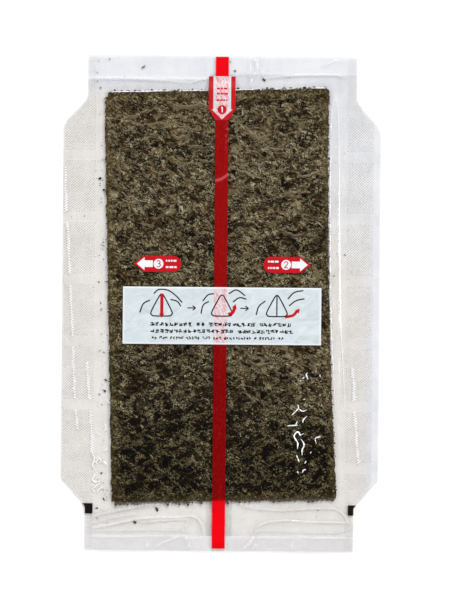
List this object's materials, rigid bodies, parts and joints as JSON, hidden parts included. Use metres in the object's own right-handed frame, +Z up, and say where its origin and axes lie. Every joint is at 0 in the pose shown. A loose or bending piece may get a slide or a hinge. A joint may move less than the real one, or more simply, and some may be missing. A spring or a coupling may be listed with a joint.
{
  "type": "onigiri nori wrapper",
  "caption": "Flat clear film sleeve with sealed side bands, narrower end tabs, a red tear tape and printed pull tags, holding a half-cut sheet of nori.",
  "frame": {"origin": "middle of the underside of the sleeve, on the surface that it lies on", "axes": "+Y along the tear tape from the bottom tab to the top tab, +X to the right seen from above, +Z up out of the printed outer film"},
  "size_m": [0.1474, 0.23, 0.0036],
  "materials": {
    "clear_film": "gloss",
    "nori": "satin",
    "red_tape": "gloss",
    "red_print": "gloss",
    "panel_print": "gloss",
    "black_print": "gloss"
  },
  "bodies": {
    "root": {"inner_film_left": "clear_film", "inner_film_right": "clear_film", "nori_sheet": "nori", "outer_film": "clear_film", "tear_tape": "red_tape", "pull_tag_1": "red_print", "pull_tag_2": "red_print", "pull_tag_3": "red_print", "instruction_panel": "panel_print", "eye_mark_left": "black_print", "eye_mark_right": "black_print"}
  },
  "joints": []
}
